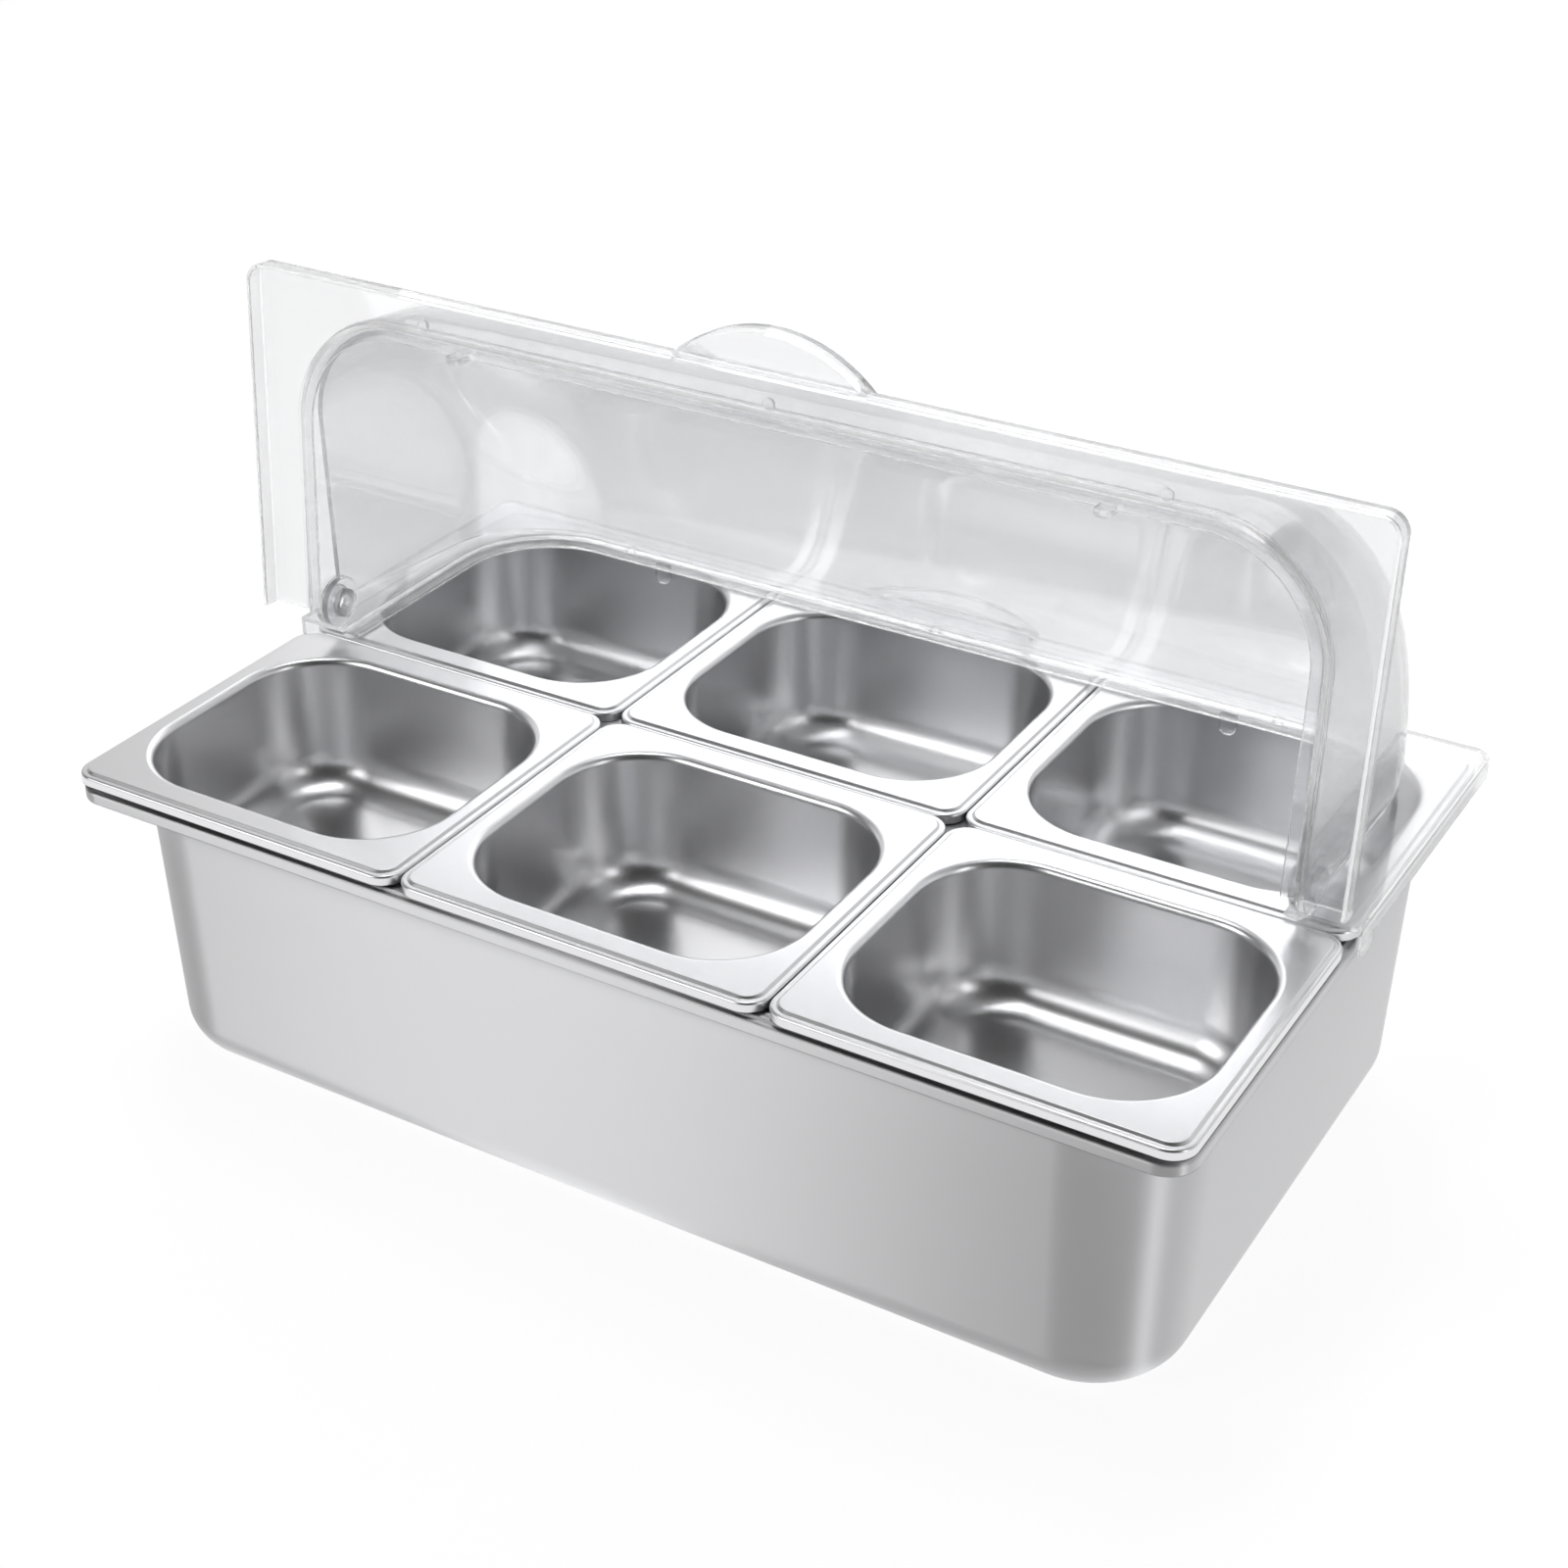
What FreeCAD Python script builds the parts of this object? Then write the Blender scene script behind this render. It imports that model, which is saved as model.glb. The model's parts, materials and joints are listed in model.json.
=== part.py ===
import FreeCAD, Part
import math
import os
import re
import Sketcher

# Condiment container: a deep steel base, six small steel pans hung in its mouth, and a clear
# two-half cover that folds on a hinge line across the middle. Millimetres, +Z up, +X along the
# long side, +Y to the back. The origin is the middle of the base's underside.
sizes = {
    # Deep base
    "base_length": 530.0,
    "base_width": 325.0,
    "base_height": 143.0,
    "base_gauge": 0.9,
    "base_side_ledge": 10.0,
    "base_end_ledge": 10.5,
    "base_taper": 5.0,
    "base_rim_corner": 14.0,
    "base_rim_depth": 6.5,
    "base_rim_roll": 4.5,
    "base_mouth_corner": 47.0,
    "base_floor_corner": 42.0,
    "base_lip": 3.5,
    "base_floor_bend": 20.0,
    # Six small pans, three across and two deep
    "pan_gap": 0.6,
    "pan_height": 65.0,
    "pan_gauge": 0.8,
    "pan_side_ledge": 11.7,
    "pan_end_ledge": 16.0,
    "pan_taper": 4.5,
    "pan_rim_corner": 11.0,
    "pan_rim_depth": 5.5,
    "pan_rim_roll": 4.5,
    "pan_mouth_corner": 40.0,
    "pan_floor_corner": 36.0,
    "pan_lip": 3.5,
    "pan_floor_bend": 18.0,
    # Bar that carries the pans along the middle
    "bar_width": 22.0,
    "bar_depth": 9.0,
    "bar_gauge": 1.0,
    "bar_end_room": 6.0,
    "bar_bend": 1.6,
    "bar_tab_width": 14.0,
    "bar_tab_room": 0.5,
    "seat_clearance": 0.3,
    # Clear cover: shells turned about the hinge line, on a flat flange with a skirt
    "hinge_height": 19.0,
    "lid_wall": 2.5,
    "lid_nest": 1.2,
    "lid_split": 1.0,
    "dome_side_inset": 20.0,
    "dome_face_inset": 15.0,
    "dome_corner": 54.0,
    "front_sweep": 91.0,
    "rear_sweep": 91.5,
    "lid_lean": 4.0,
    "lid_edge": 0.8,
    "flange_lift": 2.0,
    "flange_gauge": 2.0,
    "flange_corner": 9.0,
    "bead_inset": 5.5,
    "skirt_clearance": 1.8,
    "skirt_wall": 2.0,
    "skirt_depth": 9.5,
    "tongue_spacing": 306.0,
    "tongue_width": 8.0,
    "tongue_gauge": 3.0,
    "tongue_length": 9.0,
    "tongue_tip": 3.5,
    "tongue_room": 1.7,
    "nub_spacing": 175.0,
    "nub_radius": 2.8,
    "nub_bite": 0.3,
    "handle_length": 95.0,
    "handle_bow": 68.0,
    "handle_depth": 8.0,
    "handle_rise": 3.0,
    "handle_wall": 2.4,
    "lobe_width": 16.0,
    "lobe_depth": 17.0,
    "lobe_corner": 7.5,
    # Hinge
    "ear_radius": 12.3,
    "stop_width": 6.0,
    "pin_radius": 4.0,
    "pin_fit": 0.05,
    "pin_play": 0.3,
    "pin_head_radius": 7.0,
    "pin_head_gauge": 2.5,
    "cap_radius": 8.0,
    "cap_gauge": 2.8,
    "pin_edge": 1.0,
}

columns = {"left": -1, "middle": 0, "right": 1}
rows = {"front": -1, "rear": 1}
ends = {"left": 180, "right": 0}

# Heights above the origin
bar_top = "base_height + bar_gauge"
pan_top = bar_top + " + seat_clearance + pan_rim_depth"
hinge_line = pan_top + " + hinge_height"

# Heights from the hinge line
bead_foot = "seat_clearance - hinge_height"
flange_foot = "flange_lift - hinge_height"
flange_top = flange_foot + " + flange_gauge"

# Insides of the two shells: the rear one turns within the front one
front_shell = {
    "half": "base_length / 2 - dome_side_inset",
    "reach": "base_width / 2 - dome_face_inset",
    "corner": "dome_corner",
}
rear_shell = {name: rule + " - lid_nest - lid_wall" for name, rule in front_shell.items()}
skirt_half = "base_length / 2 + skirt_clearance + skirt_wall"
skirt_reach = "base_width / 2 + skirt_clearance + skirt_wall"
split = "lid_split / 2"

# The hollow under a handle keeps one wall all round, so its bow shares the handle's centre
bow_centre = "sqrt(handle_bow ^ 2 - (handle_length / 2) ^ 2)"
palm_length = f"2 * sqrt((handle_bow - handle_wall) ^ 2 - ({bow_centre} + skirt_wall) ^ 2)"

# How far a loop may be from level and still count as flat
flatness = 0.005

doc = FreeCAD.newDocument("condiment_container")
sheet = doc.addObject("Spreadsheet::Sheet", "sizes")
for row, (alias, number) in enumerate(sizes.items(), start=1):
    sheet.set(f"A{row}", alias)
    sheet.set(f"B{row}", str(number))
    sheet.setAlias(f"B{row}", alias)
doc.recompute()


def tied(rule):
    """A rule of named sizes, with each name pointing at its cell."""
    return re.sub(r"[a-z_]+", lambda word: f"sizes.{word[0]}" if word[0] in sizes else word[0], rule)


def measure(rule):
    """The number that a rule of named sizes comes to."""
    return float(sheet.evalExpression(tied(rule)))


def newBody(label, height="0", turn=FreeCAD.Rotation()):
    """A named body on the vertical through the origin, at a height, turned about its own origin."""
    body = doc.addObject("PartDesign::Body", label)
    body.Label = label
    body.Placement = FreeCAD.Placement(FreeCAD.Vector(0, 0, measure(height)), turn)
    body.setExpression("Placement.Base.z", tied(height))
    return body


def newSketch(body, name, offset="0", plane="XY_Plane"):
    """A sketch on one of the body's own origin planes, set off along that plane's normal."""
    sketch = body.newObject("Sketcher::SketchObject", name)
    support = next(item for item in body.Origin.OriginFeatures if item.Role == plane)
    sketch.AttachmentSupport = [(support, "")]
    sketch.MapMode = "FlatFace"
    sketch.setExpression("AttachmentOffset.Base.z", tied(offset))
    return sketch


def dimension(sketch, rule, kind, *places):
    """A dimension that follows a rule of named sizes."""
    index = sketch.addConstraint(Sketcher.Constraint(kind, *places, measure(rule)))
    sketch.renameConstraint(index, f"size_{index}")
    sketch.setExpression(f"Constraints.size_{index}", tied(rule))


def outline(sketch, corners):
    """A closed outline through corners (x, y, radius), sharp where the radius is None."""
    points = [FreeCAD.Vector(measure(x), measure(y), 0) for x, y, radius in corners]
    count = len(corners)
    starts = list(points)
    stops = list(points)
    arcs = {}
    for i, (x, y, radius) in enumerate(corners):
        if radius is None:
            continue
        back = (points[i - 1] - points[i]).normalize()
        ahead = (points[(i + 1) % count] - points[i]).normalize()
        half = back.getAngle(ahead) / 2
        inward = (back + ahead).normalize()
        stops[i] = points[i] + back * (measure(radius) / math.tan(half))
        starts[i] = points[i] + ahead * (measure(radius) / math.tan(half))
        crown = points[i] + inward * (measure(radius) / math.sin(half) - measure(radius))
        arcs[i] = sketch.addGeometry(Part.Arc(stops[i], crown, starts[i]))
    lines = []
    for i in range(count):
        lines.append(sketch.addGeometry(Part.LineSegment(starts[i], stops[(i + 1) % count])))
    for i, (x, y, radius) in enumerate(corners):
        corner = sketch.addGeometry(Part.Point(points[i]), True)
        dimension(sketch, x, "DistanceX", corner, 1)
        dimension(sketch, y, "DistanceY", corner, 1)
        if radius is None:
            sketch.addConstraint(Sketcher.Constraint("Coincident", lines[i - 1], 2, corner, 1))
            sketch.addConstraint(Sketcher.Constraint("Coincident", lines[i], 1, corner, 1))
            continue
        first = 1 if sketch.getPoint(arcs[i], 1).isEqual(stops[i], 1e-6) else 2
        sketch.addConstraint(Sketcher.Constraint("Tangent", lines[i - 1], 2, arcs[i], first))
        sketch.addConstraint(Sketcher.Constraint("Tangent", arcs[i], 3 - first, lines[i], 1))
        sketch.addConstraint(Sketcher.Constraint("PointOnObject", corner, 1, lines[i - 1]))
        sketch.addConstraint(Sketcher.Constraint("PointOnObject", corner, 1, lines[i]))
        dimension(sketch, radius, "Radius", arcs[i])


def circle(sketch, x, y, radius):
    """A round outline."""
    centre = FreeCAD.Vector(measure(x), measure(y), 0)
    ring = sketch.addGeometry(Part.Circle(centre, FreeCAD.Vector(0, 0, 1), measure(radius)))
    dimension(sketch, x, "DistanceX", ring, 3)
    dimension(sketch, y, "DistanceY", ring, 3)
    dimension(sketch, radius, "Radius", ring)


def bow(sketch, chord, radius, y):
    """A bow-shaped outline: a chord along X at y, centred, with an arc on its +Y side."""
    half = measure(chord) / 2
    level = measure(y)
    sag = measure(radius) - math.sqrt(measure(radius) ** 2 - half ** 2)
    left = FreeCAD.Vector(-half, level, 0)
    right = FreeCAD.Vector(half, level, 0)
    line = sketch.addGeometry(Part.LineSegment(left, right))
    arc = sketch.addGeometry(Part.Arc(right, FreeCAD.Vector(0, level + sag, 0), left))
    sketch.addConstraint(Sketcher.Constraint("Coincident", line, 2, arc, 1))
    sketch.addConstraint(Sketcher.Constraint("Coincident", line, 1, arc, 2))
    sketch.addConstraint(Sketcher.Constraint("Symmetric", line, 1, line, 2, -2))
    dimension(sketch, chord, "Distance", line)
    dimension(sketch, radius, "Radius", arc)
    dimension(sketch, y, "DistanceY", line, 1)


def rectangle(sketch, length, width, corner):
    """A rounded rectangle centred on the sketch's origin."""
    far = f"({length}) / 2"
    deep = f"({width}) / 2"
    outline(sketch, [("-" + far, "-" + deep, corner), (far, "-" + deep, corner),
                     (far, deep, corner), ("-" + far, deep, corner)])


def horseshoe(sketch, outer, inner, near):
    """A ring open at y = near: the band between two round-cornered U shapes (half width, reach, corner)."""
    far, deep, bend = outer
    half, reach, corner = inner
    outline(sketch, [(f"-({far})", near, None), (f"-({far})", deep, bend), (far, deep, bend),
                     (far, near, None), (half, near, None), (half, reach, corner),
                     (f"-({half})", reach, corner), (f"-({half})", near, None)])


def feature(body, kind, name, profile, **settings):
    """A solid feature on a sketch. Lengths and angles given as text follow the named sizes."""
    made = body.newObject("PartDesign::" + kind, name)
    made.Profile = profile
    for setting, rule in settings.items():
        if isinstance(rule, str):
            made.setExpression(setting, tied(rule))
        else:
            setattr(made, setting, rule)
    return made


def rounded(body, name, base, edges, radius):
    """A fillet on the numbered edges of a feature."""
    made = body.newObject("PartDesign::Fillet", name)
    made.Base = (base, edges)
    made.setExpression("Radius", tied(radius))
    doc.recompute()
    return made


def loop(base, height, length):
    """The edges of the flat loops at a height whose extent along X is a given length."""
    wanted = set()
    for face in base.Shape.Faces:
        for wire in face.Wires:
            box = wire.BoundBox
            level = box.ZLength < flatness and abs(box.ZMin - measure(height)) < flatness
            if level and abs(box.XLength - measure(length)) < flatness:
                wanted.update(edge.hashCode() for edge in wire.Edges)
    return [f"Edge{number}" for number, edge in enumerate(base.Shape.Edges, start=1)
            if edge.hashCode() in wanted]


def border(base, height):
    """The level edges at a height along the outside of a lid's flange."""
    found = []
    for number, edge in enumerate(base.Shape.Edges, start=1):
        box = edge.BoundBox
        level = box.ZLength < flatness and abs(box.ZMin - measure(height)) < flatness
        beside = max(-box.XMin, box.XMax) > measure(skirt_half) - flatness
        behind = box.YMax > measure(skirt_reach) - flatness
        at_split = box.YMax < measure(split) + flatness
        if level and (beside or behind) and not at_split:
            found.append(f"Edge{number}")
    return found


def makePan(label, kind, length, width, top, x="0", y="0"):
    """A drawn sheet pan: rolled rim, flat ledge, soft lip, drafted wall and a bend into the floor."""
    gauge = f"{kind}_gauge"
    lip = f"{kind}_lip"
    bend = f"{kind}_floor_bend"
    roll = f"{kind}_rim_roll"
    rim_foot = f"-{kind}_rim_depth"
    floor = f"-{kind}_height"
    mouth = (f"{length} - 2 * {kind}_side_ledge", f"{width} - 2 * {kind}_end_ledge", f"{kind}_mouth_corner")
    base = (f"{mouth[0]} - 2 * {kind}_taper", f"{mouth[1]} - 2 * {kind}_taper", f"{kind}_floor_corner")
    mouth_back = (f"{mouth[0]} + 2 * {gauge}", f"{mouth[1]} + 2 * {gauge}", f"{mouth[2]} + {gauge}")
    base_back = (f"{base[0]} + 2 * {gauge}", f"{base[1]} + 2 * {gauge}", f"{base[2]} + {gauge}")
    hollow = (f"{length} - 2 * {gauge}", f"{width} - 2 * {gauge}", f"{kind}_rim_corner - {gauge}")

    body = newBody(label, top)
    body.setExpression("Placement.Base.x", tied(x))
    body.setExpression("Placement.Base.y", tied(y))
    rim_sketch = newSketch(body, label + "_rim_outline")
    rectangle(rim_sketch, length, width, f"{kind}_rim_corner")
    feature(body, "Pad", label + "_rim", rim_sketch, Length=f"{kind}_rim_depth", Reversed=True)
    back_mouth = newSketch(body, label + "_back_mouth")
    rectangle(back_mouth, *mouth_back)
    back_floor = newSketch(body, label + "_back_floor", floor)
    rectangle(back_floor, *base_back)
    feature(body, "AdditiveLoft", label + "_tub", back_mouth, Sections=[back_floor], Ruled=True)
    mouth_sketch = newSketch(body, label + "_mouth")
    rectangle(mouth_sketch, *mouth)
    floor_sketch = newSketch(body, label + "_floor", f"{floor} + {gauge}")
    rectangle(floor_sketch, *base)
    feature(body, "SubtractiveLoft", label + "_cavity", mouth_sketch, Sections=[floor_sketch], Ruled=True)
    doc.recompute()
    hollow_sketch = newSketch(body, label + "_rim_hollow", rim_foot)
    rectangle(hollow_sketch, *hollow)
    rectangle(hollow_sketch, *mouth_back)
    feature(body, "Pocket", label + "_rim_back", hollow_sketch,
            Length=f"{kind}_rim_depth - {gauge}", Reversed=True)
    doc.recompute()
    bends = [
        ("roll_back", f"-{gauge}", hollow[0], f"{roll} - {gauge}"),
        ("lip_back", f"-{gauge}", mouth_back[0], f"{lip} + {gauge}"),
        ("roll", "0", length, roll),
        ("lip", "0", mouth[0], lip),
        ("bend", f"{floor} + {gauge}", base[0], bend),
        ("bend_back", floor, base_back[0], f"{bend} + {gauge}"),
    ]
    for name, height, extent, radius in bends:
        rounded(body, f"{label}_{name}", body.Tip, loop(body.Tip, height, extent), radius)
    return body


def makeBar(label):
    """The bar under the middle seam: a folded channel whose flat ends lie on the base's rim."""
    body = newBody(label, bar_top)
    half = "bar_width / 2"
    web = "bar_width / 2 - bar_gauge"
    run = "(base_length - 2 * base_side_ledge - 2 * bar_end_room)"
    channel = newSketch(body, label + "_section", f"-{run} / 2", "YZ_Plane")
    outline(channel, [(f"-({half})", "-bar_depth", None), (f"-({web})", "-bar_depth", None),
                      (f"-({web})", "-bar_gauge", None), (web, "-bar_gauge", None),
                      (web, "-bar_depth", None), (half, "-bar_depth", None),
                      (half, "0", "bar_bend"), (f"-({half})", "0", "bar_bend")])
    feature(body, "Pad", label + "_channel", channel, Length=run)
    tabs = newSketch(body, label + "_tabs_outline")
    rectangle(tabs, "base_length - 2 * base_rim_roll - 2 * bar_tab_room", "bar_tab_width", "bar_bend")
    feature(body, "Pad", label + "_tabs", tabs, Length="bar_gauge", Reversed=True)
    return body


def makeLid(label, shell, sweep, turn):
    """One half of the cover, drawn closed with the hinge line on X and the lid on the +Y side."""
    half, reach, corner = shell["half"], shell["reach"], shell["corner"]
    inside = (half, reach, corner)
    outside = (f"{half} + lid_wall", f"{reach} + lid_wall", f"{corner} + lid_wall")
    within = (f"{half} - bead_inset", f"{reach} - bead_inset", f"{corner} - bead_inset")
    edge = (skirt_half, skirt_reach, "flange_corner")
    skirt_inside = (f"{skirt_half} - skirt_wall", f"{skirt_reach} - skirt_wall", "flange_corner - skirt_wall")
    body = newBody(label, hinge_line, turn)

    section = newSketch(body, label + "_section")
    horseshoe(section, outside, inside, "0")
    feature(body, "Revolution", label + "_dome", section, ReferenceAxis=(section, ["H_Axis"]), Angle=sweep)
    feature(body, "Pad", label + "_curtain", section, Length=f"-({flange_foot})", Reversed=True)
    flange = newSketch(body, label + "_flange_outline", flange_foot)
    horseshoe(flange, edge, inside, split)
    feature(body, "Pad", label + "_flange", flange, Length="flange_gauge")
    bead = newSketch(body, label + "_bead_outline", flange_foot)
    horseshoe(bead, outside, within, split)
    feature(body, "Pad", label + "_bead", bead, Length="flange_lift - seat_clearance", Reversed=True)
    skirt = newSketch(body, label + "_skirt_outline", flange_top)
    horseshoe(skirt, edge, skirt_inside, split)
    feature(body, "Pad", label + "_skirt", skirt, Length="skirt_depth", Reversed=True)
    doc.recompute()
    rounded(body, label + "_skirt_edge", body.Tip, border(body.Tip, flange_top), "lid_edge")

    nubs = newSketch(body, label + "_nub_outlines", flange_foot)
    for place in columns.values():
        circle(nubs, f"{place} * nub_spacing", f"{reach} + lid_wall + nub_radius - nub_bite", "nub_radius")
    feature(body, "Pad", label + "_nubs", nubs, Length="flange_lift - seat_clearance", Reversed=True)

    grip_top = f"{flange_top} + handle_rise"
    grip = newSketch(body, label + "_grip_outline", grip_top)
    bow(grip, "handle_length", "handle_bow", f"{skirt_reach} - skirt_wall")
    feature(body, "Pad", label + "_grip", grip, Length="handle_depth", Reversed=True)
    palm = newSketch(body, label + "_palm_outline", f"{grip_top} - handle_depth")
    bow(palm, palm_length, "handle_bow - handle_wall", skirt_reach)
    feature(body, "Pocket", label + "_palm", palm, Length="handle_depth - handle_wall", Reversed=True)

    ear = newSketch(body, label + "_ear_outline", half, "YZ_Plane")
    circle(ear, "0", "0", "ear_radius")
    paired = [feature(body, "Pad", label + "_ear", ear, Length="lid_wall")]
    if shell is front_shell:
        heel = f"({flange_top} + seat_clearance + stop_width * sin(lid_lean)) / cos(lid_lean)"
        stop = newSketch(body, label + "_stop_outline", half, "YZ_Plane")
        outline(stop, [(heel, "0", None), ("0", "0", None),
                       ("0", "stop_width", None), (heel, "stop_width", None)])
        paired.append(feature(body, "Pad", label + "_stop", stop, Length="lid_wall"))
    else:
        lobe_foot = f"{flange_top} - lobe_depth"
        lobe_end = f"{split} + lobe_width"
        lobe = newSketch(body, label + "_lobe_outline", f"{skirt_half} - skirt_wall", "YZ_Plane")
        outline(lobe, [(split, flange_top, None), (split, lobe_foot, "lobe_corner"),
                       (lobe_end, lobe_foot, "lobe_corner"), (lobe_end, flange_top, None)])
        paired.append(feature(body, "Pad", label + "_lobe", lobe, Length="skirt_wall"))
    bore = newSketch(body, label + "_bore_outline", half, "YZ_Plane")
    circle(bore, "0", "0", "pin_radius + pin_fit")
    paired.append(feature(body, "Pocket", label + "_bore", bore, Length="lid_wall", Reversed=True))
    tongue_face = "base_width / 2 - pan_gap / 2 - pan_end_ledge - tongue_room"
    tongue_foot = f"{bead_foot} - tongue_length"
    near_side = "tongue_spacing / 2 - tongue_width / 2"
    far_side = "tongue_spacing / 2 + tongue_width / 2"
    tongue = newSketch(body, label + "_tongue_outline", f"-({tongue_face})", "XZ_Plane")
    outline(tongue, [(near_side, flange_foot, None), (near_side, tongue_foot, "tongue_tip"),
                     (far_side, tongue_foot, "tongue_tip"), (far_side, flange_foot, None)])
    paired.append(feature(body, "Pad", label + "_tongue", tongue, Length="tongue_gauge"))
    mirror = body.newObject("PartDesign::Mirrored", label + "_pair")
    mirror.Originals = paired
    mirror.MirrorPlane = (next(item for item in body.Origin.OriginFeatures if item.Role == "YZ_Plane"), [""])
    body.Tip = mirror
    return body


def turned(label, turn, corners):
    """A round piece turned about the hinge line from a half section."""
    body = newBody(label, hinge_line, turn)
    section = newSketch(body, label + "_section")
    outline(section, corners)
    feature(body, "Revolution", label + "_round", section, ReferenceAxis=(section, ["H_Axis"]), Angle=360.0)
    return body


makePan("base_pan", "base", "base_length", "base_width", "base_height")
makeBar("support_bar")
for row, depth in rows.items():
    for column, place in columns.items():
        makePan(f"{row}_{column}_pan", "pan", "(base_length / 3 - pan_gap)", "(base_width / 2 - pan_gap)",
                pan_top, f"{place} * base_length / 3", f"{depth} * base_width / 4")

# The front half stands open: turned to the front, then folded back on its hinge to just past upright
facing_front = FreeCAD.Rotation(FreeCAD.Vector(0, 0, 1), 180)
folded_back = FreeCAD.Rotation(FreeCAD.Vector(1, 0, 0), measure("-90 - lid_lean"))
makeLid("rear_lid", rear_shell, "rear_sweep", FreeCAD.Rotation())
makeLid("front_lid", front_shell, "front_sweep", folded_back.multiply(facing_front))

# Each hinge pin runs from inside the rear shell, through both ears, into a cap outside the front shell
head_face = f"{rear_shell['half']} - pin_play"
cap_face = f"{front_shell['half']} + lid_wall + pin_play"
for end, angle in ends.items():
    outward = FreeCAD.Rotation(FreeCAD.Vector(0, 0, 1), angle)
    turned(end + "_hinge_pin", outward,
           [(f"{head_face} - pin_head_gauge", "0", None),
            (f"{head_face} - pin_head_gauge", "pin_head_radius", "pin_edge"),
            (head_face, "pin_head_radius", None), (head_face, "pin_radius", None),
            (f"{cap_face} + cap_gauge", "pin_radius", None), (f"{cap_face} + cap_gauge", "0", None)])
    turned(end + "_pin_cap", outward,
           [(cap_face, "pin_radius + pin_fit", None), (cap_face, "cap_radius", None),
            (f"{cap_face} + cap_gauge", "cap_radius", "pin_edge"),
            (f"{cap_face} + cap_gauge", "pin_radius + pin_fit", None)])

doc.recompute()
for item in doc.Objects:
    if "Invalid" in item.State or "Error" in item.State:
        raise ValueError(f"{item.Label} did not build: {item.State}")
bodies = doc.findObjects("PartDesign::Body")
for body in bodies:
    if body.Shape.isNull() or not body.Shape.isValid() or len(body.Shape.Solids) != 1:
        raise ValueError(f"{body.Label} is not one sound solid")
os.makedirs("parts", exist_ok=True)
for body in bodies:
    body.Shape.exportStep(f"parts/{body.Label}.step")
    print(body.Label, round(body.Shape.Volume), body.Shape.BoundBox)
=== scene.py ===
import json
import math
import bmesh
import bpy
import numpy as np
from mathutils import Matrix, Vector

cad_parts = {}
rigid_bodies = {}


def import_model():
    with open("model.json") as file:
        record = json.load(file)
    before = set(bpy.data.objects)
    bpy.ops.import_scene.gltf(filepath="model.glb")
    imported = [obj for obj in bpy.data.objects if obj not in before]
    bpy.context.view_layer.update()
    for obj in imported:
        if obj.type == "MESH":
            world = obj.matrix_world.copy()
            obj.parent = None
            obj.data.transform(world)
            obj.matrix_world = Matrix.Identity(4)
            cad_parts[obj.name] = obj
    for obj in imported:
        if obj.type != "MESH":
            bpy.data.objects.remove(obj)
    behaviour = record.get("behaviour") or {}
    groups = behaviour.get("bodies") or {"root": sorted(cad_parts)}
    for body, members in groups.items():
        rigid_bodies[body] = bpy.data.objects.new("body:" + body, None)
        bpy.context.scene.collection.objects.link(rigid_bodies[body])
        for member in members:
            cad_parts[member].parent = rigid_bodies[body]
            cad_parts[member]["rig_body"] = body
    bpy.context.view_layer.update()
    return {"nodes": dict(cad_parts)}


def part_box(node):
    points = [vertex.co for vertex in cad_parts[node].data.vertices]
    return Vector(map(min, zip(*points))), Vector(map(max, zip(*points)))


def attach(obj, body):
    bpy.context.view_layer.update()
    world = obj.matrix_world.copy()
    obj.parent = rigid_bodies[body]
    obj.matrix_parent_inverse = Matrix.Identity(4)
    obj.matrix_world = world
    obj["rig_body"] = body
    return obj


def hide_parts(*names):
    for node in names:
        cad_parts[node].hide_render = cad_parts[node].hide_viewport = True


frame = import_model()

print("frame loaded:", len(frame["nodes"]), "nodes")


class Shade:
    # one socket of a node tree; arithmetic on it adds Math nodes
    def __init__(self, tree, socket=None):
        self.tree = tree
        self.socket = socket

    # any node: its settings are set first, then its sockets' values or links
    def node(self, kind, settings, inputs, output=0):
        made = self.tree.nodes.new(kind)
        for name, value in settings.items():
            if name == "stops":
                while len(made.color_ramp.elements) < len(value):
                    made.color_ramp.elements.new(0.5)
                for stop, (place, grey) in zip(made.color_ramp.elements, value):
                    stop.position = place
                    stop.color = (grey, grey, grey, 1)
            else:
                setattr(made, name, value)
        for name, value in inputs.items():
            if isinstance(value, Shade):
                self.tree.links.new(value.socket, made.inputs[name])
            else:
                made.inputs[name].default_value = value
        return Shade(self.tree, made.outputs[output] if len(made.outputs) else None)

    def math(self, operation, first, second):
        return self.node("ShaderNodeMath", {"operation": operation}, {0: first, 1: second})

    def __add__(self, other):
        return self.math("ADD", self, other)

    def __sub__(self, other):
        return self.math("SUBTRACT", self, other)

    def __mul__(self, other):
        return self.math("MULTIPLY", self, other)

    def __rsub__(self, other):
        return self.math("SUBTRACT", other, self)

    __radd__ = __add__
    __rmul__ = __mul__


def newMaterial(name):
    material = bpy.data.materials.new(name)
    material.use_nodes = True
    material.node_tree.nodes.clear()
    return material, Shade(material.node_tree)


def noiseAt(start, stretch, scale, detail):
    # noise on Object coordinates, squeezed along the axes by stretch
    place = start.node("ShaderNodeTexCoord", {}, {}, "Object")
    spread = start.node("ShaderNodeMapping", {}, {"Vector": place, "Scale": stretch})
    return start.node("ShaderNodeTexNoise", {"noise_dimensions": "3D"},
                      {"Vector": spread, "Scale": scale, "Detail": detail, "Roughness": 0.55})


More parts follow.
